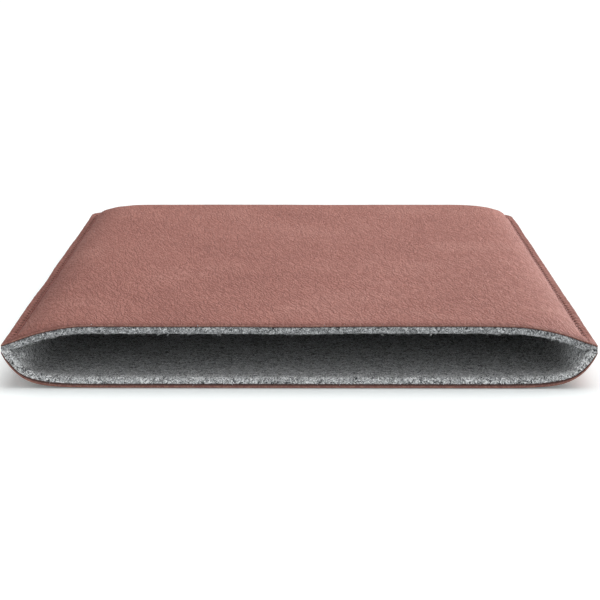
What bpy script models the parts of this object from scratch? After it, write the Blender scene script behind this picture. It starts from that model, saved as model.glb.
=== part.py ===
"""Laptop sleeve: two leather panels over two wool felt liners, sewn together round three sides.

Metres, +Z up. The origin is the centre of the footprint on the surface that the sleeve lies on.
+Y runs from the open mouth to the closed rear seam, and +X is the right-hand side seen from the mouth.

Each panel is a loft of rings. A ring follows the outline at one inset from the raw edge, from the
mouth back along the side, round the rear corner and across the rear. The sleeve keeps the shape that
it has round a laptop: a thin sewn flange, a cambered top and a boat-shaped bottom with a flat keel.
"""

import math

import bmesh
import bpy

# Outside size of the filled sleeve.
WIDTH = 0.270
LENGTH = 0.375
HEIGHT = 0.030
CORNER_RADIUS = 0.011
CORNER_GROWTH = 0.5  # the rings' corners get rounder by this share of their inset

# Thickness of each layer, and the clearance between layers that touch on the real sleeve.
LEATHER = 0.0013
FELT = 0.0030
FELT_PRESSED = 0.0010
GAP = 0.0003

# The flange: the two felts are pressed together on the parting plane and sewn through.
PARTING_Z = 0.0187
FLANGE = 0.0045
FLANGE_HALF = GAP / 2 + FELT_PRESSED + GAP + LEATHER
SEAM_INSET = 0.0040
THREAD_RADIUS = 0.00035

# How fast a panel leaves the flange: the inset in which the remaining height falls to 1/e.
TOP_RUN = 0.0095
TOP_RUN_AT_MOUTH = 0.0140
BOTTOM_RUN = 0.0036
BOTTOM_RUN_AT_MOUTH = 0.0082
FLARE_DEPTH = 0.020  # the flange opens into the mouth's pointed lips over this length
FELT_SWELL = 0.0060  # the inset over which the felt recovers its full thickness

# The loft's rings, as insets from the raw edge, and its steps along each ring.
RINGS = (0.0, 0.002, SEAM_INSET, 0.0046, 0.0055, 0.007, 0.009, 0.0115, 0.015, 0.021, 0.030, 0.042)
FLARE_STEPS = 4
SIDE_STEPS = 4
CORNER_STEPS = 6
REAR_STEPS = 3
FIRST_SEWN_STATION = 1  # the seam starts one flare step, 5 mm, behind the mouth

MOUTH_Y = -LENGTH / 2
TOP = 1
BOTTOM = -1


def smooth(share):
    """An S-curve from 0 to 1."""
    share = min(max(share, 0.0), 1.0)
    return share * share * (3 - 2 * share)


def ring_point(inset, station):
    """The plan point (x, y) of one station on the right half of the ring at that inset."""
    radius = CORNER_RADIUS + CORNER_GROWTH * inset
    side_x = WIDTH / 2 - inset
    rear_y = LENGTH / 2 - inset
    corner_x = side_x - radius
    corner_y = rear_y - radius
    straight_y = MOUTH_Y + FLARE_DEPTH
    if station < FLARE_STEPS:
        return side_x, MOUTH_Y + FLARE_DEPTH * station / FLARE_STEPS
    station -= FLARE_STEPS
    if station < SIDE_STEPS:
        return side_x, straight_y + (corner_y - straight_y) * station / SIDE_STEPS
    station -= SIDE_STEPS
    if station < CORNER_STEPS:
        angle = math.pi / 2 * station / CORNER_STEPS
        return corner_x + radius * math.cos(angle), corner_y + radius * math.sin(angle)
    station -= CORNER_STEPS
    return corner_x * (1 - station / REAR_STEPS), rear_y


STATIONS = FLARE_STEPS + SIDE_STEPS + CORNER_STEPS + REAR_STEPS + 1


def mouth_share(station):
    """1 at the mouth, 0 where the flange is fully closed."""
    y = ring_point(0.0, station)[1]
    return 1 - smooth((y - MOUTH_Y) / FLARE_DEPTH)


def remaining(side, inset, flare):
    """The share of a panel's height still to go at an inset: 1 at the raw edge, 0 on the plateau."""
    run, mouth_run = (TOP_RUN, TOP_RUN_AT_MOUTH) if side == TOP else (BOTTOM_RUN, BOTTOM_RUN_AT_MOUTH)

    def fall(at):
        closed = math.exp(-max(0.0, at - FLANGE) / run)
        return flare * math.exp(-at / mouth_run) + (1 - flare) * closed

    last = fall(RINGS[-1])
    return max(0.0, (fall(inset) - last) / (1 - last))


def outer_height(side, inset, flare):
    """The height of a panel's outer leather face at an inset from the raw edge."""
    edge_z = PARTING_Z + side * FLANGE_HALF
    plateau_z = HEIGHT if side == TOP else 0.0
    return plateau_z + (edge_z - plateau_z) * remaining(side, inset, flare)


def layer_point(side, inset, station, depth):
    """The point a depth inside the outer face, square to it except at the raw edge, which is cut flush."""
    flare = mouth_share(station)
    step = 0.0003
    rise = outer_height(side, inset + step, flare) - outer_height(side, max(inset - step, 0.0), flare)
    run = inset + step - max(inset - step, 0.0)
    slope = math.atan(abs(rise) / run) if inset < RINGS[-1] else 0.0
    slope *= smooth(inset / FELT_SWELL)
    x, y = ring_point(inset + depth * math.sin(slope), station)
    return x, y, outer_height(side, inset, flare) - side * depth * math.cos(slope)


def felt_thickness(inset, station):
    """The felt is pressed thin in the flange and recovers towards the pocket."""
    closed_from = FLANGE * (1 - mouth_share(station))
    return FELT_PRESSED + (FELT - FELT_PRESSED) * smooth((inset - closed_from) / FELT_SWELL)


def material(name, colour, roughness):
    """A plain Principled material."""
    made = bpy.data.materials.new(name)
    made.use_nodes = True
    shader = made.node_tree.nodes["Principled BSDF"]
    shader.inputs["Base Color"].default_value = (*colour, 1.0)
    shader.inputs["Roughness"].default_value = roughness
    return made


def panel(name, side, first_depth, last_depth, finish, collection):
    """One layer of a panel: a closed shell between two depths, lofted as a half and mirrored.

    first_depth and last_depth give the depth of the outer and the inner face at (inset, station).
    """
    mesh = bpy.data.meshes.new(name)
    shell = bmesh.new()
    faces = []
    for depth_at in (first_depth, last_depth):
        rows = []
        for inset in RINGS:
            points = [layer_point(side, inset, j, depth_at(inset, j)) for j in range(STATIONS)]
            rows.append([shell.verts.new(point) for point in points])
        middle = shell.verts.new((0.0, MOUTH_Y, rows[-1][0].co.z))
        faces.append((rows, middle))
    (outer, outer_middle), (inner, inner_middle) = faces

    def add(corners, flip):
        shell.faces.new(corners[::-1] if flip else corners)

    for rows, middle, flip in ((outer, outer_middle, side == TOP), (inner, inner_middle, side == BOTTOM)):
        for row, following in zip(rows, rows[1:]):
            for j in range(STATIONS - 1):
                add([row[j], following[j], following[j + 1], row[j + 1]], flip)
        add([middle, *reversed(rows[-1])], flip)
    for j in range(STATIONS - 1):
        add([outer[0][j], outer[0][j + 1], inner[0][j + 1], inner[0][j]], side == TOP)
    lip_outer = [row[0] for row in outer] + [outer_middle]
    lip_inner = [row[0] for row in inner] + [inner_middle]
    for i in range(len(lip_outer) - 1):
        add([lip_outer[i], lip_inner[i], lip_inner[i + 1], lip_outer[i + 1]], side == TOP)
    shell.to_mesh(mesh)
    shell.free()
    mesh.shade_smooth()
    mesh.set_sharp_from_angle(angle=math.radians(50))
    piece = bpy.data.objects.new(name, mesh)
    collection.objects.link(piece)
    mirror = piece.modifiers.new("other_half", "MIRROR")
    mirror.merge_threshold = 0.00005
    piece.data.materials.append(finish)
    return piece


def thread(name, side, finish, collection):
    """The thread on one face of the seam, as a tube that lies on the leather round the three sides."""
    sewn = range(FIRST_SEWN_STATION, STATIONS)
    half = [layer_point(side, SEAM_INSET, j, -(GAP + THREAD_RADIUS)) for j in sewn]
    mirrored = [(-x, y, z) for x, y, z in reversed(half[:-1])]
    path = half + mirrored
    curve = bpy.data.curves.new(name, "CURVE")
    curve.dimensions = "3D"
    curve.bevel_depth = THREAD_RADIUS
    curve.bevel_resolution = 1
    curve.use_fill_caps = True
    spline = curve.splines.new("POLY")
    spline.points.add(len(path) - 1)
    for point, place in zip(spline.points, path):
        point.co = (*place, 1.0)
    piece = bpy.data.objects.new(name, curve)
    collection.objects.link(piece)
    curve.materials.append(finish)
    return piece


def main():
    """Build the six pieces in one collection."""
    for old in list(bpy.data.objects):
        bpy.data.objects.remove(old, do_unlink=True)
    collection = bpy.data.collections.new("laptop_sleeve")
    bpy.context.scene.collection.children.link(collection)

    for side, place in ((TOP, "top"), (BOTTOM, "bottom")):
        leather = material(f"{place}_leather", (0.36, 0.16, 0.13), 0.55)
        panel(f"{place}_leather_panel", side, lambda i, j: 0.0, lambda i, j: LEATHER, leather, collection)
        felt = material(f"{place}_felt", (0.50, 0.51, 0.52), 0.95)
        panel(
            f"{place}_felt_liner",
            side,
            lambda i, j: LEATHER + GAP,
            lambda i, j: LEATHER + GAP + felt_thickness(i, j),
            felt,
            collection,
        )
    for side, name in ((TOP, "needle_thread"), (BOTTOM, "bobbin_thread")):
        thread(name, side, material(name, (0.22, 0.07, 0.06), 0.6), collection)


main()
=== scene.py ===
"""Dresses the laptop sleeve: grained leather over wool felt, sewn with a lockstitch round three sides.

The sleeve lies on its bottom panel with its mouth towards the camera. Every panel follows one form: a
height for each inset from the raw edge. The leather, the felt, the stitches and the fibres are laid on it.
"""

from __future__ import annotations

import logging
import math
from dataclasses import dataclass, field
from enum import Enum

import bmesh
import bpy
import numpy as np
from mathutils import Euler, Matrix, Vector


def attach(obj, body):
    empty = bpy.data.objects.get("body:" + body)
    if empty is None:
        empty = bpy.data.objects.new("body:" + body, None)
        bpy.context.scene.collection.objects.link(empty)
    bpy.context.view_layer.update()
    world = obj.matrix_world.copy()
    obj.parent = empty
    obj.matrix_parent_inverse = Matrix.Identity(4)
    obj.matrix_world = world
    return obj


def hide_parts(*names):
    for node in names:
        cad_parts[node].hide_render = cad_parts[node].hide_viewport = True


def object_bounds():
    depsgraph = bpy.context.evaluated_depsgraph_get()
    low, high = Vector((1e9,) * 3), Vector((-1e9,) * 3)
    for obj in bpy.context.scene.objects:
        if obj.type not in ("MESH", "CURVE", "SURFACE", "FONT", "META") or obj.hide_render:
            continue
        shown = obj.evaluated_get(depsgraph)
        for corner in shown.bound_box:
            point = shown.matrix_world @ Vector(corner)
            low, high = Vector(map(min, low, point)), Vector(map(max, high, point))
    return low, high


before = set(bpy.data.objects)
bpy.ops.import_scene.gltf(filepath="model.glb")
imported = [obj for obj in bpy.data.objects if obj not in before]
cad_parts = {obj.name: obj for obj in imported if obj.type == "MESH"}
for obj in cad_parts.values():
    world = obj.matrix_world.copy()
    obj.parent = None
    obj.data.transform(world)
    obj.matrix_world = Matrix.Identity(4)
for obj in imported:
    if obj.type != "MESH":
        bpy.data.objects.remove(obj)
CAD_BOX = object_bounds()

log = logging.getLogger("laptop_sleeve")
MM = 0.001
WELD = 0.002 * MM  # points of a shell that are closer than this are merged

# The panels' rings, as insets from the raw edge in millimetres: close by the seam and wide on the flat.
RING_INSETS = (
    *(0.7, 1.3, 2.0, 2.7, 3.2, 3.6, 4.0, 4.4, 4.8, 5.3, 5.9, 6.6, 7.4, 8.3, 9.3, 10.5, 12, 13.7),
    *(15.6, 18, 20.5, 23.5, 27, 31, 35, 39.5, 44, 49, 54, 60, 66, 73, 80, 88, 96, 105, 115, 125, 135),
)

Array = np.ndarray
Colour = tuple[float, float, float]
Ramp = tuple[float, float, float, float]  # a smooth map's from low, from high, to low and to high
Rim = tuple[tuple[float, float], ...]
Material = bpy.types.Material
Node = bpy.types.Node
NodeTree = bpy.types.NodeTree
Piece = bpy.types.Object
Socket = bpy.types.NodeSocket


class Side(Enum):
    """The half of the sleeve that a panel belongs to; its value is the way that its outer face looks."""

    TOP = 1
    BOTTOM = -1


class Slot(Enum):
    """The record's material slots."""

    LEATHER = "leather"
    FELT = "felt"
    THREAD = "thread"


def smooth(share: Array | float) -> Array:
    """Return an S-curve from 0 to 1."""
    share = np.clip(share, 0.0, 1.0)
    return share * share * (3 - 2 * share)


def bell(distance: Array, width: float) -> Array:
    """Return 1 at no distance, falling to 0 over a few widths."""
    return np.exp(-((distance / width) ** 2))


@dataclass(frozen=True)
class Waves:
    """A gentle unevenness: a sum of plane waves with fixed random directions, phases and lengths."""

    seed: int
    shortest: float
    longest: float
    count: int = 14

    def at(self, x: Array, y: Array) -> Array:
        """Return the unevenness at plan points, mostly between -1 and 1."""
        draw = np.random.default_rng(self.seed)
        angles = draw.uniform(0, math.tau, self.count)
        phases = draw.uniform(0, math.tau, self.count)
        lengths = np.exp(draw.uniform(math.log(self.shortest), math.log(self.longest), self.count))
        total = np.zeros(np.broadcast(x, y).shape)
        for angle, phase, length in zip(angles, phases, lengths):
            total += np.sin((x * math.cos(angle) + y * math.sin(angle)) * math.tau / length + phase)
        return total / math.sqrt(self.count)


@dataclass(frozen=True)
class SleeveForm:
    """The sleeve's shape as smooth functions of the inset from its raw edge.

    A station runs from -1 at the mouth's left end, round the rear at 0, to 1 at the mouth's right end.
    """

    width: float
    length: float
    height: float
    corner_radius: float = 11 * MM
    corner_growth: float = 0.5
    parting_z: float = 18.3 * MM
    flange: float = 4.5 * MM
    flange_half: float = 2.05 * MM
    seam_inset: float = 4.0 * MM
    leather: float = 1.3 * MM
    leather_skived: float = 0.95 * MM
    bottom_lip_leather: float = 0.75 * MM  # how much thicker the bottom's leather is left at the mouth
    bottom_lip_reach: float = 25.0 * MM
    bottom_lip_start: float = 4.0 * MM
    bottom_lip_rise: float = 12.0 * MM
    felt: float = 3.0 * MM
    felt_clearance: float = 0.05 * MM
    swell: float = 6.0 * MM
    pinch_start: float = 1.5 * MM
    pinch_run: float = 6.0 * MM
    pinch_fill: float = 1.3 * MM  # the most that a liner swells to meet the other one at the seam
    top_run: float = 9.0 * MM
    top_run_at_rear: float = 7.2 * MM
    top_lip_reach: float = 37.0 * MM
    top_lip_power: float = 1.7
    bottom_run: float = 3.6 * MM
    bottom_run_at_mouth: float = 7.3 * MM
    flare_depth: float = 20.0 * MM
    plateau_inset: float = 42.0 * MM
    slope_step: float = 0.3 * MM
    slack: Waves = Waves(seed=3, shortest=45 * MM, longest=130 * MM)
    slack_height: float = 0.30 * MM
    slack_level: float = 1.4  # keeps the slack below the plateau
    slack_start: float = 8.0 * MM
    slack_rise: float = 30.0 * MM
    edge_drift: Waves = Waves(seed=8, shortest=60 * MM, longest=170 * MM)
    edge_drift_height: float = 0.30 * MM
    edge_drift_reach: float = 14.0 * MM
    corner_lift: tuple[float, float] = (0.4 * MM, -0.5 * MM)
    corner_lift_reach: float = 30.0 * MM

    @property
    def mouth_y(self) -> float:
        """The Y of the mouth's cut edge."""
        return -self.length / 2

    def ring(self, inset: Array) -> tuple[Array, Array, Array]:
        """Return a ring's corner centre, X and Y, and its corner radius."""
        side_x = self.width / 2 - inset
        radius = np.minimum(self.corner_radius + self.corner_growth * inset, side_x)
        return side_x - radius, self.length / 2 - inset - radius, radius

    def seam_lengths(self) -> tuple[float, float, float]:
        """Return the seam's side run, corner arc and half rear run."""
        corner_x, corner_y, radius = self.ring(np.float64(self.seam_inset))
        return float(corner_y - self.mouth_y), float(radius) * math.pi / 2, float(corner_x)

    def outline(self, inset: Array, station: Array, lip: float = 0.0) -> tuple[Array, Array]:
        """Give plan points on the rings.

        Args:
            inset: each point's distance from the raw edge.
            station: each point's station.
            lip: how far behind the mouth's plane the rings begin.

        Returns:
            The points' X and Y.
        """
        side_run, arc_run, rear_run = self.seam_lengths()
        whole = side_run + arc_run + rear_run
        side_share, arc_share = side_run / whole, arc_run / whole
        half = 1 - np.abs(station)
        corner_x, corner_y, radius = self.ring(inset)
        angle = np.clip((half - side_share) / arc_share, 0, 1) * math.pi / 2
        rear = np.clip((half - side_share - arc_share) / (1 - side_share - arc_share), 0, 1)
        start = self.mouth_y + lip
        side_y = start + (corner_y - start) * np.clip(half / side_share, 0, 1)
        x = np.where(rear > 0, corner_x * (1 - rear), corner_x + radius * np.cos(angle))
        y = np.where(angle > 0, corner_y + radius * np.sin(angle), side_y)
        return x * np.sign(station), y

    def flare(self, y: Array) -> Array:
        """Return 1 at the mouth, where the flange opens into pointed lips, and 0 where it is closed."""
        return 1 - smooth((y - self.mouth_y) / self.flare_depth)

    def plain_height(self, side: Side, inset: Array, y: Array) -> Array:
        """Return a panel's outer height without slack, drift or lift."""
        top = side is Side.TOP
        back = smooth((y - self.mouth_y) / self.length)
        run = self.top_run + (self.top_run_at_rear - self.top_run) * back if top else self.bottom_run
        flare = self.flare(y)

        def fall(at: Array | float) -> Array:
            """Return the share of the height still to go at an inset."""
            closed = np.exp(-np.maximum(0.0, at - self.flange) / run)
            if top:
                lip = np.maximum(0.0, 1 - at / self.top_lip_reach) ** self.top_lip_power
            else:
                lip = np.exp(-at / self.bottom_run_at_mouth)
            return flare * lip + (1 - flare) * closed

        last = fall(self.plateau_inset)
        remaining = np.maximum(0.0, (fall(inset) - last) / (1 - last))
        edge_z = self.parting_z + side.value * self.flange_half
        plateau_z = self.height if top else 0.0
        return plateau_z + (edge_z - plateau_z) * remaining

    def flange_shift(self, inset: Array, x: Array, y: Array) -> Array:
        """Return how far the flange, both panels together, drifts and curls up from its level."""
        drift = self.edge_drift_height * self.edge_drift.at(x, y)
        for lift, corner_x in zip(self.corner_lift, (-self.width / 2, self.width / 2)):
            distance = np.hypot(x - corner_x, y - self.length / 2)
            drift = drift + lift * bell(distance, self.corner_lift_reach)
        return drift * (1 - smooth(inset / self.edge_drift_reach)) * (1 - self.flare(y))

    def height_at(self, side: Side, inset: Array, x: Array, y: Array) -> Array:
        """Return the height of a panel's outer face."""
        z = self.plain_height(side, inset, y) + self.flange_shift(inset, x, y)
        if side is Side.TOP:
            settled = smooth((inset - self.slack_start) / self.slack_rise)
            z = z + self.slack_height * settled * (self.slack.at(x, y) - self.slack_level) / 2
        return z

    def slope(self, side: Side, inset: Array, y: Array) -> Array:
        """Return how far a layer's thickness leans from upright; the raw edge is cut flush, with no lean."""
        low = np.maximum(inset - self.slope_step, 0.0)
        high = inset + self.slope_step
        rise = self.plain_height(side, high, y) - self.plain_height(side, low, y)
        lean = np.arctan(np.abs(rise) / (high - low))
        return np.where(inset < self.plateau_inset, lean * smooth(inset / self.swell), 0.0)

    def hide_depth(self, side: Side, inset: Array, y: Array) -> Array:
        """Return the leather's thickness: skived at the raw edge, and left thicker at the bottom's lip."""
        depth = self.leather_skived + (self.leather - self.leather_skived) * smooth(inset / self.swell)
        return depth + self.lip_leather(side, inset, y)

    def lip_leather(self, side: Side, inset: Array, y: Array) -> Array:
        """Return the extra thickness of the bottom's leather at the mouth, and nothing for the top's."""
        if side is Side.TOP:
            return np.zeros(np.broadcast(inset, y).shape)
        near = 1 - smooth((y - self.mouth_y) / self.bottom_lip_reach)
        return self.bottom_lip_leather * near * smooth((inset - self.bottom_lip_start) / self.bottom_lip_rise)

    def lining_depth(self, side: Side, inset: Array, y: Array) -> Array:
        """Return the depth of the felt's inner face, which meets the other liner where the seam pinches."""
        rise = np.abs(self.plain_height(side, inset, y) - self.parting_z)
        room = rise / np.cos(self.slope(side, inset, y)) - self.felt_clearance
        depth = np.minimum(room, self.leather + self.felt + self.lip_leather(side, inset, y))
        pinched = 1 - smooth((inset - self.pinch_start) / self.pinch_run)
        return depth + np.minimum(room - depth, self.pinch_fill) * pinched

    def layer(self, side: Side, inset: Array, station: Array, depth: Array, lip: float = 0.0) -> Array:
        """Return points at a depth inside a panel's outer face, with X, Y and Z on the last axis."""
        x, y = self.outline(inset, station, lip)
        slope = self.slope(side, inset, y)
        z = self.height_at(side, inset, x, y) - side.value * depth * np.cos(slope)
        x, y = self.outline(inset + depth * np.sin(slope), station, lip)
        return np.stack(np.broadcast_arrays(x, y, z), axis=-1)

    def cut_size(self, side: Side) -> tuple[float, float]:
        """Return the width and length of a panel's flat cut, measured over the form's curves."""
        inset = np.linspace(0, self.width / 2, 400)
        z = self.plain_height(side, inset, np.zeros(inset.shape))
        curve = float(np.hypot(np.diff(inset), np.diff(z)).sum())
        extra = curve - self.width / 2
        return 2 * curve, self.length + extra


@dataclass(frozen=True)
class Stitching:
    """The lockstitch's measures, and where its needle holes fall along the seam."""

    form: SleeveForm
    pitch: float = 5.0 * MM
    stitch: float = 3.9 * MM
    thread: float = 0.66 * MM
    rise: float = 0.26 * MM
    slant: float = 0.22
    stations_per_stitch: int = 4
    free_stitches: int = 1  # stitches left out at each end of the seam, by the mouth
    hole_fade: float = 0.5  # in stitches, as the next
    seam_fade: float = 0.8

    @property
    def per_half(self) -> int:
        """The number of stitch lengths from the mouth to the rear's middle."""
        return round(sum(self.form.seam_lengths()) / self.pitch)

    @property
    def stations(self) -> Array:
        """Stations that fall on every needle hole and evenly between."""
        return np.linspace(-1, 1, 2 * self.per_half * self.stations_per_stitch + 1)

    def count(self, station: Array) -> Array:
        """Return how many stitch lengths a station is from the mouth."""
        return (1 - np.abs(station)) * self.per_half

    def within(self, station: Array, fade: float) -> Array:
        """Return 1 along the seam and 0 past its ends, with a fade of so many stitches between."""
        return smooth((self.count(station) - self.free_stitches + fade) / fade)

    def hole(self, station: Array) -> Array:
        """Return 1 at a needle hole and 0 halfway between two, and 0 past the seam's ends."""
        return np.cos(math.pi * self.count(station)) ** 2 * self.within(station, self.hole_fade)

    def sewn(self, station: Array) -> Array:
        """Return 1 along the seam and 0 past its ends."""
        return self.within(station, self.seam_fade)

    def centres(self) -> Array:
        """Return the stations of the stitches' middles."""
        counts = np.arange(self.free_stitches, self.per_half) + 0.5
        half = 1 - counts / self.per_half
        return np.concatenate([-half, half[::-1]])


def smooth_mesh(name: str, points: Array, faces: list, attributes: dict[str, Array]) -> bpy.types.Mesh:
    """Make a smooth mesh that keeps a number or a vector for each vertex under each attribute's name."""
    mesh = bpy.data.meshes.new(name)
    mesh.from_pydata(points.tolist(), [], faces)
    mesh.shade_smooth()
    for label, values in attributes.items():
        kind, part = ("FLOAT_VECTOR", "vector") if values.ndim == 2 else ("FLOAT", "value")
        mesh.attributes.new(label, kind, "POINT").data.foreach_set(part, np.ravel(values))
    return mesh


def linked(name: str, data: bpy.types.ID, *finishes: Material) -> bpy.types.Object:
    """Make an object for its data, in its finishes, and link it to the scene."""
    made = bpy.data.objects.new(name, data)
    for finish in finishes:
        data.materials.append(finish)
    bpy.context.scene.collection.objects.link(made)
    return made


def weld_shell(mesh: bpy.types.Mesh) -> None:
    """Close a shell's seams and poles and point its faces outwards."""
    cleaned = bmesh.new()
    cleaned.from_mesh(mesh)
    bmesh.ops.remove_doubles(cleaned, verts=cleaned.verts[:], dist=WELD)
    bmesh.ops.recalc_face_normals(cleaned, faces=cleaned.faces[:])
    if cleaned.calc_volume(signed=True) < 0:
        bmesh.ops.reverse_faces(cleaned, faces=cleaned.faces[:])
    cleaned.to_mesh(mesh)
    cleaned.free()


def grid_faces(rows: int, columns: int, first: int = 0, flip: bool = False) -> Array:
    """Return the quads of a grid of vertices that are stored row by row."""
    corner = first + np.arange((rows - 1) * columns).reshape(rows - 1, columns)[:, :-1].ravel()
    quads = np.stack([corner, corner + 1, corner + columns + 1, corner + columns], axis=1)
    return quads[:, ::-1] if flip else quads


def apply_tree(piece: Piece, tree: NodeTree, values: dict[str, object]) -> None:
    """Run a geometry node tree on a piece and keep its result as a plain mesh.

    Args:
        piece: the object that carries the points or the surface.
        tree: the node tree.
        values: a value for each named input that isn't left at its default.
    """
    modifier = piece.modifiers.new(tree.name, "NODES")
    modifier.node_group = tree
    sockets = {item.name: item.identifier for item in tree.interface.items_tree if item.in_out == "INPUT"}
    for name, value in values.items():
        modifier[sockets[name]] = value
    evaluated = piece.evaluated_get(bpy.context.evaluated_depsgraph_get())
    result = bpy.data.meshes.new_from_object(evaluated)
    result.name = piece.name
    piece.modifiers.clear()
    piece.data = result


class Nodes:
    """A short way to add and link nodes in one tree."""

    def __init__(self, tree: NodeTree) -> None:
        """Keep the tree."""
        self.tree = tree

    def feed(self, node: Node, **inputs: object) -> None:
        """Give a node's inputs values or sockets, by name with _ for a space, or i0, i1 by number."""
        for name, value in inputs.items():
            numbered = name[0] == "i" and name[1:].isdigit()
            socket = node.inputs[int(name[1:]) if numbered else name.replace("_", " ")]
            if isinstance(value, Socket):
                self.tree.links.new(value, socket)
            else:
                socket.default_value = value

    def add(self, kind: str, settings: dict[str, object] | None = None, **inputs: object) -> Node:
        """Add a node.

        Args:
            kind: the node's type name.
            settings: its properties.
            **inputs: values or sockets for its inputs, named as in feed.

        Returns:
            The node.
        """
        node = self.tree.nodes.new(kind)
        for name, value in (settings or {}).items():
            setattr(node, name, value)
        self.feed(node, **inputs)
        return node

    def math(self, operation: str, first: object, second: object = 0.0) -> Socket:
        """Add a math node and return its value."""
        return self.add("ShaderNodeMath", {"operation": operation}, i0=first, i1=second).outputs[0]

    def times(self, first: object, second: object) -> Socket:
        """Add a product and return its value."""
        return self.math("MULTIPLY", first, second)

    def plus(self, first: object, second: object) -> Socket:
        """Add a sum and return its value."""
        return self.math("ADD", first, second)

    def remap(self, value: object, low: float, high: float, to_low: float = 0, to_high: float = 1) -> Socket:
        """Add a smooth map range node and return its value."""
        bounds = {"From_Min": low, "From_Max": high, "To_Min": to_low, "To_Max": to_high}
        eased = {"interpolation_type": "SMOOTHSTEP"}
        return self.add("ShaderNodeMapRange", eased, Value=value, **bounds).outputs[0]

    def point(self, x: object, y: object, z: object) -> Socket:
        """Add a combined vector and return it."""
        return self.add("ShaderNodeCombineXYZ", X=x, Y=y, Z=z).outputs[0]

    def vector(self, operation: str, **inputs: object) -> Socket:
        """Add a vector math node and return its vector."""
        return self.add("ShaderNodeVectorMath", {"operation": operation}, **inputs).outputs[0]

    def stretched(self, place: object, stretch: object) -> Socket:
        """Add a stretch along X, which makes a texture's features longer, and return the vector."""
        return self.vector("MULTIPLY", i0=place, i1=self.point(self.math("DIVIDE", 1.0, stretch), 1.0, 1.0))

    def place(self) -> Socket:
        """Return the piece's own coordinates."""
        return self.add("ShaderNodeTexCoord").outputs["Object"]

    def attribute(self, name: str) -> Socket:
        """Return one of the piece's own attributes."""
        return self.add("ShaderNodeAttribute", {"attribute_name": name}).outputs["Fac"]

    def noise(self, place: object, scale: object, detail: float, part: str = "Fac", **more: float) -> Socket:
        """Add a noise texture and return its value, or another part of it."""
        return self.add("ShaderNodeTexNoise", Vector=place, Scale=scale, Detail=detail, **more).outputs[part]

    def bump(self, strength: float, distance: float, height: Socket) -> Socket:
        """Add a bump and return its normal."""
        return self.add("ShaderNodeBump", Strength=strength, Distance=distance, Height=height).outputs[0]

    def blend(self, share: object, first: object, second: object) -> Socket:
        """Add a colour mix node and return its colour."""
        colours = (value if isinstance(value, Socket) else (*value, 1.0) for value in (first, second))
        node = self.add("ShaderNodeMix", {"data_type": "RGBA"}, i0=share)
        self.feed(node, **dict(zip(("i6", "i7"), colours)))
        return node.outputs[2]

    def named(self, name: str, kind: str = "FLOAT") -> Socket:
        """Return a named attribute in a geometry node tree."""
        return self.add("GeometryNodeInputNamedAttribute", {"data_type": kind}, Name=name).outputs[0]

    def random(self, low: float, high: float, seed: object) -> Socket:
        """Return a random number for each instance."""
        drawn = self.add("FunctionNodeRandomValue", {"data_type": "FLOAT"}, i2=low, i3=high, Seed=seed)
        return drawn.outputs[1]

    def tube(self, path: tuple[object, object, object], steps: int, radius: Socket, sides: int) -> Socket:
        """Add a tube along a curve that starts, bends and ends at the path's points, and return its mesh."""
        bow = dict(zip(("Start", "Middle", "End"), path))
        curve = self.add("GeometryNodeCurveQuadraticBezier", Resolution=steps, **bow)
        size = {"Resolution": sides, "Radius": radius}
        ring = self.add("GeometryNodeCurvePrimitiveCircle", {"mode": "RADIUS"}, **size)
        sweep = {"Curve": curve.outputs[0], "Profile_Curve": ring.outputs[0], "Fill_Caps": True}
        return self.add("GeometryNodeCurveToMesh", **sweep).outputs[0]

    def scatter(self, points: Socket, shape: Socket, rotation: Socket, scale: Socket) -> Socket:
        """Put a turned and scaled instance of a shape on each point and return the instances."""
        laid = {"Points": points, "Instance": shape, "Rotation": rotation, "Scale": scale}
        return self.add("GeometryNodeInstanceOnPoints", **laid).outputs[0]

    def end(self, result: Node, instances: Socket, finish: Socket) -> NodeTree:
        """End a geometry node tree by making its instances real, in their finish, and return it."""
        real = self.add("GeometryNodeRealizeInstances", Geometry=instances)
        dressed = self.add("GeometryNodeSetMaterial", Geometry=real.outputs[0], Material=finish)
        self.feed(result, Geometry=dressed.outputs[0])
        return self.tree


def start_tree(
    kind: str, name: str, inputs: dict[str, object], outputs: tuple[str, ...]
) -> tuple[Nodes, Node, Node]:
    """Start a node group.

    Args:
        kind: Shader or Geometry.
        name: the group's name.
        inputs: each input's default number, or its kind where it has none.
        outputs: the outputs' names; Geometry is geometry, and every other one is a number.

    Returns:
        The group's node helper, its input node and its output node.
    """
    tree = bpy.data.node_groups.new(name, f"{kind}NodeTree")
    for label, value in inputs.items():
        sort = value if isinstance(value, str) else type(value).__name__.capitalize()
        socket = tree.interface.new_socket(label, in_out="INPUT", socket_type=f"NodeSocket{sort}")
        if sort != value:
            socket.default_value = value
    for label in outputs:
        sort = label if label == "Geometry" else "Float"
        tree.interface.new_socket(label, in_out="OUTPUT", socket_type=f"NodeSocket{sort}")
    return Nodes(tree), tree.nodes.new("NodeGroupInput"), tree.nodes.new("NodeGroupOutput")


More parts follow.
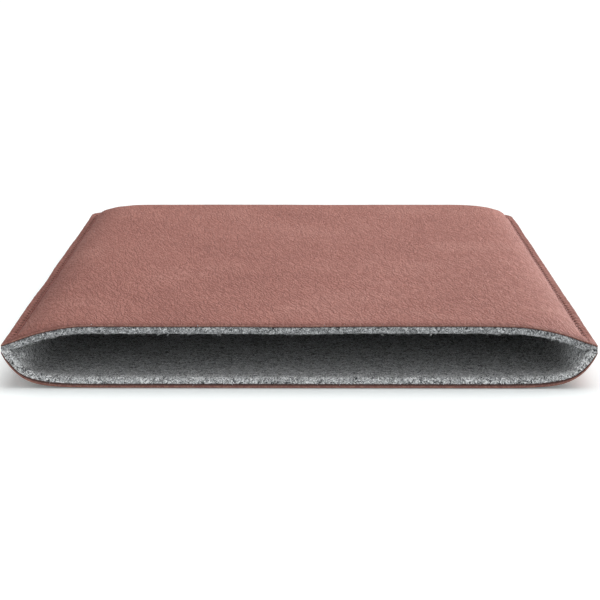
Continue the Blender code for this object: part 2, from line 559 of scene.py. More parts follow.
def grain_group() -> NodeTree:
    """Build the hide's grain: soft pebbles crossed by longer folds, on low swells.

    Returns:
        A group with the outputs Height, Crease and Cloud.
    """
    nodes, source, result = start_tree(
        "Shader",
        "hide_grain",
        {"Vector": "Vector", "Pebble": 1.25 * MM, "Stretch": 2.2, "Fold Stretch": 1.9, "Direction": 1.20},
        ("Height", "Crease", "Cloud"),
    )
    place, direction = source.outputs["Vector"], source.outputs["Direction"]
    scale = nodes.math("DIVIDE", 1.0, source.outputs["Pebble"])
    turned = nodes.add("ShaderNodeVectorRotate", {"rotation_type": "Z_AXIS"}, Vector=place, Angle=direction)
    laid = nodes.stretched(turned.outputs[0], source.outputs["Stretch"])
    drawn = nodes.stretched(laid, source.outputs["Fold Stretch"])
    wander = nodes.noise(laid, nodes.times(scale, 0.45), 3.0, "Color")
    offset = nodes.vector("SCALE", i0=wander, Scale=nodes.math("DIVIDE", 1.4, scale))
    bent = nodes.vector("ADD", i0=laid, i1=offset)
    cells = nodes.add("ShaderNodeTexVoronoi", {"feature": "DISTANCE_TO_EDGE"}, Vector=bent, Scale=scale)
    pebble = nodes.remap(cells.outputs["Distance"], 0.0, 0.30)
    folds = nodes.noise(drawn, nodes.times(scale, 0.62), 2.0)
    ridge = nodes.remap(nodes.math("ABSOLUTE", nodes.math("SUBTRACT", folds, 0.5)), 0.0, 0.10)
    fine = nodes.noise(place, nodes.times(scale, 4.0), 3.0)
    swell = nodes.noise(laid, nodes.times(scale, 0.30), 2.0)
    low = nodes.plus(nodes.times(fine, 0.16), swell)
    raised = nodes.plus(nodes.times(pebble, 0.44), nodes.times(ridge, 0.58))
    between = nodes.times(nodes.math("SUBTRACT", 1.0, pebble), 0.5)
    # the creases: where shade is painted into the grain's colour, and where the roughness rises
    crease = nodes.math("MAXIMUM", between, nodes.math("SUBTRACT", 1.0, ridge))
    nodes.feed(result, Height=nodes.plus(raised, low), Crease=crease, Cloud=nodes.noise(place, 22.0, 4.0))
    return nodes.tree


def fleck_group() -> NodeTree:
    """Build the wool's mottling: tangled pale and dark fibres at two scales.

    Returns:
        A group with the outputs Fleck, Shade and Height.
    """
    inputs = {"Vector": "Vector", "Clump": 2.6 * MM}
    nodes, source, result = start_tree("Shader", "wool_fleck", inputs, ("Fleck", "Shade", "Height"))
    place = source.outputs["Vector"]
    scale = nodes.math("DIVIDE", 1.0, source.outputs["Clump"])
    clumps = nodes.noise(place, scale, 5.0, Roughness=0.62, Distortion=1.0)
    strands = nodes.noise(place, nodes.times(scale, 1.8), 3.0, Roughness=0.6, Distortion=2.2)
    nodes.feed(
        result,
        Fleck=nodes.remap(strands, 0.46, 0.60),
        Shade=nodes.remap(clumps, 0.42, 0.58),
        Height=nodes.plus(clumps, nodes.times(strands, 0.6)),
    )
    return nodes.tree


@dataclass
class Effects:
    """The shader groups, each made once and shared by the finishes."""

    grain: NodeTree = field(default_factory=grain_group)
    fleck: NodeTree = field(default_factory=fleck_group)


@dataclass(frozen=True)
class Finish:
    """A finish of the sleeve: one Principled material whose maps a subclass draws."""

    name: str
    roughness: float

    def make(self, effects: Effects) -> Material:
        """Make the material, with the shared groups."""
        material = bpy.data.materials.new(self.name)
        material.use_nodes = True
        nodes = Nodes(material.node_tree)
        maps = {"Roughness": self.roughness} | self.maps(nodes, effects)
        nodes.feed(material.node_tree.nodes["Principled BSDF"], **maps)
        return material

    def maps(self, nodes: Nodes, effects: Effects) -> dict[str, object]:
        """Return what feeds the shader's inputs, by name."""
        raise NotImplementedError


@dataclass(frozen=True)
class LeatherFinish(Finish):
    """Dyed full-grain leather with a fine pebbled face."""

    name: str = "rosewood_leather"
    roughness: float = 0.62
    crease_roughness: float = 0.14
    cloud_roughness: float = 0.08
    face: Colour = (0.320, 0.131, 0.104)
    pale: Colour = (0.372, 0.169, 0.138)
    pale_cloud: Ramp = (0.50, 0.72, 0.0, 0.6)
    deep: Colour = (0.264, 0.100, 0.079)
    deep_cloud: Ramp = (0.30, 0.52, 0.5, 0.0)
    # crease: the dark red of the painted shade in the grain's creases, the seam's groove and the mouth's
    # bevel, also used for the darker flange and the burnished raw edge
    crease: Colour = (0.125, 0.032, 0.024)
    creased: float = 0.45
    # pressed: how much darker the flange is painted
    pressed: float = 0.17
    # sewn: the share of painted shade along the seam's groove
    sewn: float = 0.45
    # rubbed: how far the edges darken, burnished along the raw edge and with painted shade along the mouth's
    # bevel
    rubbed: float = 0.8
    # hole: the painted shadow in the needle holes
    hole: Colour = (0.060, 0.013, 0.009)
    pierced: Ramp = (0.25, 0.90, 0.0, 0.95)
    gloss: float = 0.21
    relief: float = 0.62 * MM

    def maps(self, nodes: Nodes, effects: Effects) -> dict[str, object]:
        """Cloud the dye, paint shade into the grain's creases, the seam's groove and its needle holes, darken
        the flange, and darken the edges: burnished, with painted shade along the mouth.
        """
        grain = nodes.add("ShaderNodeGroup", {"node_tree": effects.grain}, Vector=nodes.place())
        cloud, crease = grain.outputs["Cloud"], grain.outputs["Crease"]
        dyed = nodes.blend(nodes.remap(cloud, *self.deep_cloud), self.face, self.deep)
        dyed = nodes.blend(nodes.remap(cloud, *self.pale_cloud), dyed, self.pale)
        # painted shade in the grain's creases
        dyed = nodes.blend(nodes.times(crease, self.creased), dyed, self.crease)
        # the flange darkened, and painted shade along the seam's groove
        for label, share in (("flange", self.pressed), ("seam", self.sewn)):
            dyed = nodes.blend(nodes.times(nodes.attribute(label), share), dyed, self.crease)
        # painted shadow in the needle holes
        dyed = nodes.blend(nodes.remap(nodes.attribute("hole"), *self.pierced), dyed, self.hole)
        # the edges: burnished, with painted shade along the mouth's bevel
        dyed = nodes.blend(nodes.times(nodes.attribute("edge"), self.rubbed), dyed, self.crease)
        rough = nodes.plus(nodes.times(crease, self.crease_roughness), self.roughness)
        return {
            "Base_Color": dyed,
            "Roughness": nodes.plus(rough, nodes.times(cloud, self.cloud_roughness)),
            "Specular_IOR_Level": self.gloss,
            "Normal": nodes.bump(1.0, self.relief, grain.outputs["Height"]),
        }


@dataclass(frozen=True)
class CutEdgeFinish(Finish):
    """The leather's cut edge: dyed darker, rubbed smooth, with fibre showing in places."""

    name: str = "dyed_cut_edge"
    roughness: float = 0.62
    dye: Colour = (0.198, 0.069, 0.054)
    rubbed: Colour = (0.350, 0.175, 0.128)
    # painted shade where the leather's flesh side meets the felt
    glue: Colour = (0.045, 0.012, 0.010)
    glued: Ramp = (0.38, 0.80, 0.0, 0.9)
    streak_scale: float = 900.0
    relief: float = 0.15 * MM

    def maps(self, nodes: Nodes, effects: Effects) -> dict[str, object]:
        """Streak the dye with rubbed fibre and paint shade on it towards the felt, as a dark line where the
        leather meets the felt.
        """
        streaks = nodes.noise(nodes.place(), self.streak_scale, 5.0, Roughness=0.7)
        fibre = nodes.blend(nodes.remap(streaks, 0.40, 0.66), self.dye, self.rubbed)
        glued = nodes.blend(nodes.remap(nodes.attribute("hide"), *self.glued), fibre, self.glue)
        return {"Base_Color": glued, "Normal": nodes.bump(0.6, self.relief, streaks)}


@dataclass(frozen=True)
class FeltFinish(Finish):
    """Pressed wool felt, mottled grey, with a dull sheen."""

    name: str = "shaded_grey_wool_felt"
    roughness: float = 0.95
    dark: Colour = (0.022, 0.024, 0.027)
    # these tones are the top liner's, painted darker than the bottom liner's for shade
    middle: Colour = (0.215, 0.222, 0.231)
    pale: Colour = (0.70, 0.71, 0.72)
    clump: float = 2.6 * MM
    sheen: float = 0.25
    sheen_roughness: float = 0.5
    relief: float = 0.5 * MM

    def maps(self, nodes: Nodes, effects: Effects) -> dict[str, object]:
        """Mottle the wool and fleck it with pale fibre."""
        fleck = {"node_tree": effects.fleck}
        wool = nodes.add("ShaderNodeGroup", fleck, Vector=nodes.place(), Clump=self.clump)
        shaded = nodes.blend(wool.outputs["Shade"], self.dark, self.middle)
        return {
            "Base_Color": nodes.blend(wool.outputs["Fleck"], shaded, self.pale),
            "Sheen_Weight": self.sheen,
            "Sheen_Roughness": self.sheen_roughness,
            "Normal": nodes.bump(1.0, self.relief, wool.outputs["Height"]),
        }


@dataclass(frozen=True)
class FibreFinish(Finish):
    """Loose wool fibres, each of its own tone."""

    name: str = "wool_fibre"
    roughness: float = 0.85
    dark: Colour = (0.10, 0.105, 0.11)
    # the top liner's fibres, painted darker than the bottom liner's for shade
    pale: Colour = (0.76, 0.77, 0.78)

    def maps(self, nodes: Nodes, effects: Effects) -> dict[str, object]:
        """Shade each fibre by its tone."""
        return {"Base_Color": nodes.blend(nodes.attribute("tone"), self.dark, self.pale)}


@dataclass(frozen=True)
class ThreadFinish(Finish):
    """Bonded sewing thread, dyed darker than the leather."""

    name: str = "dyed_thread"
    roughness: float = 0.7
    dye: Colour = (0.200, 0.062, 0.050)
    light: Colour = (0.330, 0.122, 0.100)
    twist_scale: float = 2200.0
    relief: float = 0.1 * MM

    def maps(self, nodes: Nodes, effects: Effects) -> dict[str, object]:
        """Lighten the dye where the twist catches the light."""
        twist = nodes.noise(nodes.place(), self.twist_scale, 2.0)
        dyed = nodes.blend(nodes.remap(twist, 0.35, 0.65), self.dye, self.light)
        return {"Base_Color": dyed, "Normal": nodes.bump(0.5, self.relief, twist)}


# The finish of each liner's felt and of its loose fibres: one felt, painted lighter on the bottom and darker
# on the top for the light that falls on each.
LIT_AND_SHADED_WOOLS = {
    Side.TOP: (FeltFinish(), FibreFinish()),
    Side.BOTTOM: (
        FeltFinish("lit_pale_wool_felt", middle=(0.39, 0.40, 0.41), pale=(0.96, 0.965, 0.97)),
        FibreFinish("lit_pale_wool_fibre", pale=(0.95, 0.96, 0.97)),
    ),
}
PRESSED_WOOL = FeltFinish("pressed_wool_felt", middle=(0.19, 0.195, 0.20), pale=(0.44, 0.45, 0.46))


@dataclass(frozen=True)
class Spots:
    """Places on a panel: each one's inset from the raw edge, its station and its Y."""

    inset: Array
    station: Array
    y: Array


@dataclass
class Panel:
    """One layer of the sleeve's top or bottom: a thin closed shell between two faces.

    Both faces are grids of rings by stations. The rim joins them along the raw edge and across the mouth, in
    loops of their own setback from that edge and share of the way from the outer face to the inner.
    """

    stitching: Stitching
    side: Side
    setback: float
    rim: Rim
    lip: float  # how far behind the mouth's plane the panel begins
    stride: int  # the panel uses one of the seam's stations in so many

    @property
    def form(self) -> SleeveForm:
        """The sleeve's form."""
        return self.stitching.form

    def outer_depth(self, at: Spots) -> Array:
        """Return the depth of the outer face."""
        raise NotImplementedError

    def inner_depth(self, at: Spots) -> Array:
        """Return the depth of the inner face."""
        raise NotImplementedError

    def marks(self, at: Spots, share: Array) -> dict[str, Array]:
        """Return the attributes that the finish reads; a plain finish reads none."""
        return {}

    def points(self, inset: Array, station: Array, share: float, setback: float) -> Array:
        """Return points of the shell, one row each."""
        lip = self.lip + setback
        at = Spots(inset, station, self.form.outline(inset, station, lip)[1])
        outer, inner = self.outer_depth(at), self.inner_depth(at)
        depth = outer + share * (inner - outer)
        return self.form.layer(self.side, inset, station, depth, lip).reshape(-1, 3)

    def build(self, name: str, *finishes: Material) -> Piece:
        """Build the shell.

        Args:
            name: the piece's name.
            *finishes: the materials of its two faces and of its rim.

        Returns:
            The piece.
        """
        stations = self.stitching.stations[:: self.stride]
        rings = np.concatenate([[self.setback], MM * np.array(RING_INSETS)])
        inset, station = (grid.ravel() for grid in np.meshgrid(rings, stations, indexing="ij"))
        rows, columns = len(rings), len(stations)
        along, up = np.arange(columns), np.arange(1, rows)
        border = np.concatenate([along, (up + 1) * columns - 1, up[::-1] * columns])
        blocks = [(inset, station, 0.0, self.setback)]
        for setback, share in self.rim:
            loop = inset[border].copy()
            loop[:columns] = setback
            blocks.append((loop, station[border], share, setback))
        blocks.append((inset, station, 1.0, self.setback))
        points = np.concatenate([self.points(*block) for block in blocks])
        starts = np.cumsum([0] + [len(block[0]) for block in blocks])
        loops = [border, *(start + np.arange(len(border)) for start in starts[1:-2]), starts[-2] + border]
        faces = [grid_faces(rows, columns), grid_faces(rows, columns, starts[-2], flip=True)]
        for one, other in zip(loops, loops[1:]):
            faces.append(np.stack([one, other, np.roll(other, -1), np.roll(one, -1)], axis=1))
        slots = np.zeros(sum(map(len, faces)), dtype=np.int32)
        slots[2 * len(faces[0]) :] = 1
        insets, around = (np.concatenate([block[k] for block in blocks]) for k in (0, 1))
        shares = np.concatenate([np.full(len(block[0]), block[2]) for block in blocks])
        marks = self.marks(Spots(insets, around, points[:, 1]), shares)
        mesh = smooth_mesh(name, points, np.concatenate(faces).tolist(), marks)
        mesh.polygons.foreach_set("material_index", slots)
        weld_shell(mesh)
        return linked(name, mesh, *finishes)


@dataclass
class LeatherPanel(Panel):
    """A leather panel, drawn in by its stitches and full between them."""

    setback: float = 0.35 * MM
    rim: Rim = ((0.10 * MM, 0.06), (0, 0.25), (0, 0.55), (0, 0.82), (0.10 * MM, 0.97))
    lip: float = 0.0
    stride: int = 1
    groove: float = 0.75 * MM
    groove_width: float = 0.70 * MM
    groove_between: float = 0.12  # the share of the groove's depth that is left halfway between two holes
    scallop: float = 0.07 * MM
    scallop_width: float = 3.2 * MM
    scallop_start: float = 0.3 * MM
    fullness: float = 0.30 * MM
    fullness_offset: float = 3.4 * MM
    fullness_width: float = 2.4 * MM
    draw: Waves = Waves(seed=21, shortest=7 * MM, longest=26 * MM)
    draw_height: float = 0.12 * MM
    draw_inset: float = 7.0 * MM
    draw_width: float = 9.0 * MM
    mouth_round: float = 0.25 * MM
    mouth_round_reach: float = 1.7 * MM
    mouth_round_start: float = 8.0 * MM
    edge_tone: float = 0.5
    edge_mark: float = 0.7 * MM  # how far each darkened band reaches; all but the burnished raw edge and the darker flange are painted shade
    mouth_mark: float = 3.0 * MM
    seam_mark: float = 0.55 * MM
    hole_mark: float = 1.8 * MM
    hole_mark_offset: float = 0.4 * MM
    flange_mark: float = 1.6 * MM
    flange_mark_offset: float = 0.6 * MM

    def relief(self, at: Spots) -> Array:
        """Return how far the face stands out from the plain form."""
        x, _ = self.form.outline(at.inset, at.station)
        hole, sewn = self.stitching.hole(at.station), self.stitching.sewn(at.station)
        beside = at.inset - self.form.seam_inset
        pull = self.groove_between + (1 - self.groove_between) * hole
        groove = self.groove * sewn * pull * bell(beside, self.groove_width)
        scallop = self.scallop * sewn * (1 - 2 * hole) * bell(beside, self.scallop_width)
        full = self.fullness * sewn * bell(beside - self.fullness_offset, self.fullness_width)
        drawn = self.draw_height * self.draw.at(x, at.y) * bell(at.inset - self.draw_inset, self.draw_width)
        rounding = self.mouth_round * bell(at.y - self.form.mouth_y, self.mouth_round_reach)
        faired = rounding * smooth(at.inset / self.mouth_round_start)
        return full + scallop * (at.inset > self.scallop_start) + drawn - groove - faired

    def outer_depth(self, at: Spots) -> Array:
        """Return the face's depth, which the relief lifts."""
        return -self.relief(at)

    def inner_depth(self, at: Spots) -> Array:
        """Return the flesh side's depth."""
        return self.form.hide_depth(self.side, at.inset, at.y)

    def marks(self, at: Spots, share: Array) -> dict[str, Array]:
        """Return where shade is painted along the seam and in its holes, where the flange is darkened, where
        the edges are burnished and shaded, and how deep in the hide.
        """
        beside, behind = at.inset - self.form.seam_inset, at.y - self.form.mouth_y
        raw_edge = self.edge_tone * np.exp(-at.inset / self.edge_mark)
        # a burnished edge along the mouth, with painted shade of its bevel
        mouth_burnish_and_shade = np.exp(-np.maximum(behind, 0) / self.mouth_mark)
        # where the needle holes' shadow is painted, reaching a little out onto the flange
        pierced = bell(beside + self.hole_mark_offset, self.hole_mark)
        return {
            # painted shade along the seam's groove
            "seam": bell(beside, self.seam_mark) * smooth((behind - self.mouth_mark) / self.mouth_mark),
            "hole": pierced * self.stitching.hole(at.station),
            "flange": 1 - smooth((beside + self.flange_mark_offset) / self.flange_mark),
            "edge": np.maximum(raw_edge, mouth_burnish_and_shade),
            "hide": share,
        }


@dataclass
class FeltPanel(Panel):
    """A felt liner, pressed thin in the flange and full thickness in the pocket."""

    setback: float = 0.3 * MM
    rim: Rim = ((0.05 * MM, 0.2), (0, 0.5), (0.05 * MM, 0.8))
    lip: float = 3 * MM
    stride: int = 2
    glue_gap: float = 0.02 * MM
    nap: Waves = Waves(seed=5, shortest=5 * MM, longest=22 * MM, count=20)
    nap_height: float = 0.10 * MM
    nap_start: float = 8.0 * MM
    nap_rise: float = 10.0 * MM

    def outer_depth(self, at: Spots) -> Array:
        """Return the glued face's depth, just under the leather."""
        return self.form.hide_depth(self.side, at.inset, at.y) + self.glue_gap

    def inner_depth(self, at: Spots) -> Array:
        """Return the pocket face's depth, a little uneven."""
        x, _ = self.form.outline(at.inset, at.station)
        uneven = self.nap_height * self.nap.at(x, at.y) * smooth((at.inset - self.nap_start) / self.nap_rise)
        return self.form.lining_depth(self.side, at.inset, at.y) + uneven


@dataclass
class FeltLip:
    """A liner's cut edge in the mouth: a fine, lumpy strip that runs on into the pocket.

    Each row of the strip has its distance behind the mouth and its share of the way from leather to pocket.
    """

    form: SleeveForm
    side: Side
    step: float = 0.55 * MM
    reach: float = 7.0 * MM
    glue_gap: float = 0.04 * MM
    lumps: Waves = Waves(seed=31, shortest=0.9 * MM, longest=4.5 * MM, count=40)
    lump_height: float = 0.24 * MM
    lump_drift: float = 0.7 * MM  # how far the lumps drift from one row to the next
    rounding: float = 0.35 * MM
    lean: float = 0.5 * MM  # how far the cut slants back towards the pocket
    cut_depth: float = 0.5 * MM  # rows that are nearer the mouth than this belong to the cut
    run_rows: int = 10
    run_power: float = 1.8  # packs the rows towards the cut
    cut_rows: int = 7
    hem: tuple[float, float] = (1 * MM, 3 * MM)  # the rows that run back under the leather
    tip_inset: float = 0.02 * MM
    lump_shift: float = 0.4  # sets the two liners' lumps apart
    lump_spread: float = 9.0
    cut_roughness: float = 0.8
    nap_fade: float = 0.8
    nap_start: float = 0.15
    nap_rise: float = 0.35
    nap_tip: float = 4.0 * MM

    def profile(self) -> list[tuple[float, float]]:
        """Return each row's distance behind the mouth and its share."""
        run_in = [(back, 1.0) for back in self.reach * np.linspace(1, 0, self.run_rows) ** self.run_power]
        cut = [(0.0, share) for share in np.linspace(1, 0, self.cut_rows + 1)[1:]]
        return run_in + cut + [(back, 0.0) for back in self.hem]

    def row(self, number: int, back: float, share: float) -> tuple[Array, Array]:
        """Return a row's points, and how much nap each of them bears."""
        form, half, shift = self.form, self.form.width / 2, self.side.value * self.lump_shift
        across = np.linspace(-half, half, round(2 * half / self.step) + 1)
        inset = np.maximum(half - np.abs(across), self.tip_inset)
        y = np.full(across.shape, form.mouth_y + back)
        inner = form.lining_depth(self.side, inset, y)
        outer = form.hide_depth(self.side, inset, y) + self.glue_gap
        wander = self.lump_drift * number + shift
        lump = self.lump_height * self.lumps.at(across + shift, np.full(across.shape, wander))
        settled = 1 - smooth(back / self.reach)
        depth = outer + share * (inner - outer) + lump * share * settled
        points = form.layer(self.side, inset, np.where(across < 0, -1.0, 1.0), depth, lip=back)
        cut = float(back < self.cut_depth)
        rounding = self.rounding * (2 * share - 1) ** 4 * settled * cut
        points[:, 1] += rounding + self.lean * share * settled
        lump = self.lump_height * self.lumps.at(across, y + self.lump_spread * wander)
        points[:, 1] += cut * self.cut_roughness * lump
        loose = (1 - self.nap_fade * (1 - settled)) * smooth((share - self.nap_start) / self.nap_rise)
        return points, loose * smooth(inset / self.nap_tip)

    def build(self, name: str, felt: Material) -> Piece:
        """Build the strip under its name and return it."""
        rows, naps = zip(*(self.row(number, *place) for number, place in enumerate(self.profile())))
        grid = np.stack(rows)
        faces = grid_faces(*grid.shape[:2], flip=self.side is Side.TOP)
        mesh = smooth_mesh(name, grid.reshape(-1, 3), faces.tolist(), {"nap": np.ravel(naps)})
        return linked(name, mesh, felt)


def stitch_tree() -> NodeTree:
    """Build the tree that lays one stitch on each point, along its own direction and on its own face.

    Returns:
        The tree, which reads the point attributes along and up.
    """
    sizes = {"Stitch Length": 3.9 * MM, "Thread Radius": 0.33 * MM, "Rise": 0.26 * MM}
    inputs = {"Geometry": "Geometry", **sizes, "Seed": 4, "Thread": "Material"}
    nodes, source, result = start_tree("Geometry", "lockstitch", inputs, ("Geometry",))
    radius, half = source.outputs["Thread Radius"], nodes.times(source.outputs["Stitch Length"], 0.5)
    sunk = nodes.times(radius, -1.6)
    start, end = (nodes.point(nodes.times(half, way), 0.0, sunk) for way in (-1.0, 1.0))
    crest = nodes.point(0.0, 0.0, nodes.times(source.outputs["Rise"], 4.0))
    thread = nodes.tube((start, crest, end), 7, radius, 6)
    soft = nodes.add("GeometryNodeSetShadeSmooth", Geometry=thread)
    align = "FunctionNodeAlignRotationToVector"
    turned = nodes.add(align, {"axis": "X"}, Vector=nodes.named("along", "FLOAT_VECTOR"))
    facing = {"Rotation": turned.outputs[0], "Vector": nodes.named("up", "FLOAT_VECTOR")}
    upright = nodes.add(align, {"axis": "Z", "pivot_axis": "X"}, **facing)
    uneven = nodes.random(0.94, 1.05, source.outputs["Seed"])
    laid = nodes.scatter(source.outputs["Geometry"], soft.outputs[0], upright.outputs[0], uneven)
    return nodes.end(result, laid, source.outputs["Thread"])


@dataclass
class Seam:
    """The lockstitch seam's visible thread on one face of the flange."""

    stitching: Stitching
    side: Side
    sink: float = 0.30 * MM
    along_step: float = 0.2  # in stitches
    across_step: float = 0.4 * MM

    def laid(self, station_step: float = 0.0, inset_step: float = 0.0) -> Array:
        """Return the stitches' middles, moved by a step."""
        form, station = self.stitching.form, self.stitching.centres()
        inset = np.full(station.shape, form.seam_inset)
        return form.layer(self.side, inset + inset_step, station + station_step, self.sink)

    def build(self, name: str, tree: NodeTree, thread: Material) -> Piece:
        """Lay the stitches.

        Args:
            name: the piece's name.
            tree: the stitch tree.
            thread: the thread's material.

        Returns:
            The piece.
        """
        step = self.along_step / self.stitching.per_half
        along = self.laid(step) - self.laid(-step)
        across = self.laid(0.0, self.across_step) - self.laid(0.0, -self.across_step)
        up = np.cross(along, across)
        across *= (np.linalg.norm(along, axis=1) / np.linalg.norm(across, axis=1))[:, None]
        along += self.stitching.slant * across
        up *= (self.side.value * np.sign(up[:, 2]) / np.linalg.norm(up, axis=1))[:, None]
        piece = linked(name, smooth_mesh(name, self.laid(), [], {"along": along, "up": up}))
        values = {
            "Stitch Length": self.stitching.stitch,
            "Thread Radius": self.stitching.thread / 2,
            "Rise": self.stitching.rise,
            "Thread": thread,
        }
        apply_tree(piece, tree, values)
        return piece


def fibre_tree() -> NodeTree:
    """Build the tree that scatters loose curved fibres over a felt surface.

    Returns:
        The tree, which reads the surface's nap and stores each fibre's tone.
    """
    sizes = {"Per Square Metre": 5.0e6, "Fibre Length": 2.1 * MM, "Fibre Radius": 0.11 * MM}
    inputs = {"Geometry": "Geometry", **sizes, "Seed": 1, "Wool": "Material"}
    nodes, source, result = start_tree("Geometry", "wool_fibres", inputs, ("Geometry",))
    seed, length = source.outputs["Seed"], source.outputs["Fibre Length"]
    density = nodes.times(nodes.named("nap"), source.outputs["Per Square Metre"])
    grown_on = {"Mesh": source.outputs["Geometry"], "Density": density, "Seed": seed}
    roots = nodes.add("GeometryNodeDistributePointsOnFaces", {"distribute_method": "RANDOM"}, **grown_on)
    bend = nodes.point(nodes.times(length, 0.30), 0.0, nodes.times(length, 0.42))
    tip = nodes.point(nodes.times(length, 0.85), nodes.times(length, 0.2), nodes.times(length, 0.32))
    fibre = nodes.tube(((0.0, 0.0, -0.05 * MM), bend, tip), 2, source.outputs["Fibre Radius"], 3)
    tilt = {"i0": (-0.5, -0.9, -3.14), "i1": (0.5, 0.3, 3.14)}
    lean = nodes.add("FunctionNodeRandomValue", {"data_type": "FLOAT_VECTOR"}, Seed=seed, **tilt).outputs[0]
    leant = {"Rotation": roots.outputs["Rotation"], "Rotate_By": lean}
    turned = nodes.add("FunctionNodeRotateRotation", {"rotation_space": "LOCAL"}, **leant)
    size = nodes.random(0.45, 1.25, nodes.plus(seed, 7.0))
    grown = nodes.scatter(roots.outputs["Points"], fibre, turned.outputs[0], size)
    tone = nodes.random(0.0, 1.0, nodes.plus(seed, 19.0))
    kept = {"data_type": "FLOAT", "domain": "INSTANCE"}
    toned = nodes.add("GeometryNodeStoreNamedAttribute", kept, Geometry=grown, Name="tone", Value=tone)
    return nodes.end(result, toned.outputs[0], source.outputs["Wool"])


@dataclass
class Sleeve:
    """The whole sleeve: two panels of leather, two of felt, their seam and their nap."""

    stitching: Stitching
    effects: Effects
    pieces: list[Piece] = field(default_factory=list)
    bottom_draw: float = 0.08 * MM
    fibre_seed: int = 11

    def build_leather(self) -> None:
        """Build the two leather panels."""
        face, cut = LeatherFinish().make(self.effects), CutEdgeFinish().make(self.effects)
        for side, place in ((Side.TOP, "top"), (Side.BOTTOM, "bottom")):
            panel = LeatherPanel(self.stitching, side)
            if side is Side.BOTTOM:
                panel.draw_height = self.bottom_draw
            piece = panel.build(f"{place}_leather", face, cut)
            self.stitching.form.cut_size(side)
            self.dress(piece, Slot.LEATHER, f"{place}_leather_panel")

    def build_felt(self) -> None:
        """Build the two felt liners, their cut edges in the mouth and the loose fibres."""
        form, pressed, scatter = self.stitching.form, PRESSED_WOOL.make(self.effects), fibre_tree()
        for side, place in ((Side.TOP, "top"), (Side.BOTTOM, "bottom")):
            felt, fibre = (wool.make(self.effects) for wool in LIT_AND_SHADED_WOOLS[side])
            piece = FeltPanel(self.stitching, side).build(f"{place}_felt", felt, pressed)
            edge = FeltLip(form, side).build(f"{place}_felt_cut_edge", felt)
            loose = linked(f"{place}_felt_fibres", edge.data.copy())
            apply_tree(loose, scatter, {"Seed": self.fibre_seed + side.value, "Wool": fibre})
            self.dress(edge, Slot.FELT)
            self.dress(loose, Slot.FELT)
            form.cut_size(side)
            self.dress(piece, Slot.FELT, f"{place}_felt_liner")

    def build_seam(self) -> None:
        """Build the needle thread's and the bobbin thread's stitches."""
        thread, tree = ThreadFinish().make(self.effects), stitch_tree()
        for side, node in ((Side.TOP, "needle_thread"), (Side.BOTTOM, "bobbin_thread")):
            piece = Seam(self.stitching, side).build(node.replace("_thread", "_stitches"), tree, thread)
            self.dress(piece, Slot.THREAD, node)

    def dress(self, piece: Piece, slot: Slot, replaces: str | None = None) -> None:
        """Put a finished piece on the sleeve's body.

        Args:
            piece: the piece.
            slot: the material slot that it wears, which is only logged.
            replaces: the CAD node that it stands for, if it stands for one.
        """
        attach(piece, "root")
        if replaces:
            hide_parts(replaces)
        self.pieces.append(piece)
        log.info("%s: %d faces, slot %s", piece.name, len(piece.data.polygons), slot.value)


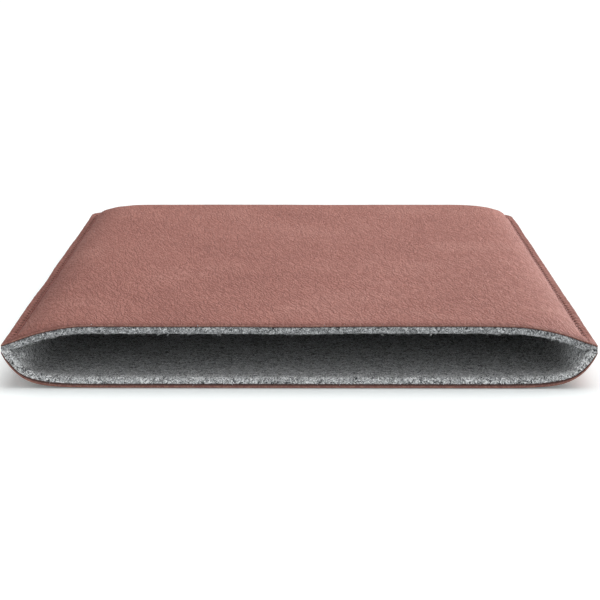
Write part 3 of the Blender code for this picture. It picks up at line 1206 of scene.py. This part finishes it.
@dataclass(frozen=True)
class Studio:
    """A pale floor, soft light and the camera. Angles are in degrees."""

    camera_place: tuple[float, float, float] = (4 * MM, -1.0122, 0.2139)
    camera_pitch: float = 11.83
    camera_yaw: float = 0.25
    lens: float = 112.4
    view_depth: float = 30.0
    floor_half: float = 8.0
    floor_z: float = -0.05 * MM
    floor_white: Colour = (0.95, 0.95, 0.95)
    floor_glow: Colour = (0.78, 1, 1)
    floor_glow_strength: float = 0.15
    left_light: float = 0.49
    right_light: float = 0.78
    sun_strength: float = 1.32
    sun_spread: float = 50
    sun_turn: tuple[float, float] = (-8, 11)
    box_power: float = 62.0
    box_size: float = 1.0
    box_place: tuple[float, float, float] = (1.6, 1.3, 0.75)
    box_target: tuple[float, float, float] = (0.1, 0, 0.02)

    def build(self, pieces: list[Piece]) -> None:
        """Make the floor, the lights and the camera round the sleeve's pieces."""
        bpy.context.scene.view_settings.view_transform = "Standard"
        self._floor()
        self._surround()
        self._sun()
        self._soft_box(pieces)
        self._camera()

    def _floor(self) -> None:
        """Lay the floor."""
        bpy.ops.mesh.primitive_plane_add(size=2 * self.floor_half, location=(0, 0, self.floor_z))
        floor = bpy.context.active_object
        floor.name = "studio_floor"
        material = bpy.data.materials.new("studio_white")
        material.use_nodes = True
        Nodes(material.node_tree).feed(
            material.node_tree.nodes["Principled BSDF"],
            Base_Color=(*self.floor_white, 1),
            Roughness=0.9,
            Specular_IOR_Level=0.1,
            Emission_Color=(*self.floor_glow, 1),
            Emission_Strength=self.floor_glow_strength,
        )
        floor.data.materials.append(material)

    def _surround(self) -> None:
        """Surround the set with soft white light that is weaker on the left."""
        world = bpy.data.worlds.new("soft_surround")
        world.use_nodes = True
        nodes = Nodes(world.node_tree)
        way = nodes.add("ShaderNodeSeparateXYZ", Vector=nodes.add("ShaderNodeTexCoord").outputs["Generated"])
        strength = nodes.remap(way.outputs["X"], -0.9, 0.9, self.left_light, self.right_light)
        nodes.feed(world.node_tree.nodes["Background"], Color=(1, 1, 1, 1), Strength=strength)
        bpy.context.scene.world = world

    def _sun(self) -> None:
        """Set a broad sun above, a little to the right."""
        data = bpy.data.lights.new("broad_sun", "SUN")
        data.energy, data.angle = self.sun_strength, math.radians(self.sun_spread)
        linked("broad_sun", data).rotation_euler = Euler((*map(math.radians, self.sun_turn), 0))

    def _soft_box(self, pieces: list[Piece]) -> None:
        """Set a soft box behind the right side that lights the sleeve only."""
        data = bpy.data.lights.new("right_soft_box", "AREA")
        data.shape, data.size, data.energy = "SQUARE", self.box_size, self.box_power
        box = linked("right_soft_box", data)
        box.location = self.box_place
        box.rotation_euler = (Vector(self.box_target) - box.location).to_track_quat("-Z", "Y").to_euler()
        lit = bpy.data.collections.new("lit_by_soft_box")
        for piece in pieces:
            lit.objects.link(piece)
        box.light_linking.receiver_collection = lit

    def _camera(self) -> None:
        """Stand the camera in front of the mouth, a little above the sleeve."""
        data = bpy.data.cameras.new("camera")
        data.lens, data.clip_end = self.lens, self.view_depth
        camera = linked("camera", data)
        camera.location = self.camera_place
        turn = (90 - self.camera_pitch, 0, self.camera_yaw)
        camera.rotation_euler = Euler(tuple(map(math.radians, turn)))
        bpy.context.scene.camera = camera


def main() -> None:
    """Build the sleeve and its studio."""
    logging.basicConfig(level=logging.INFO, format="%(name)s: %(message)s")
    low, high = (Vector(corner) for corner in CAD_BOX)
    size = high - low
    sleeve = Sleeve(Stitching(SleeveForm(width=size.x, length=size.y, height=size.z)), Effects())
    sleeve.build_leather()
    sleeve.build_felt()
    sleeve.build_seam()
    Studio().build(sleeve.pieces)


if __name__ == "__main__":
    main()
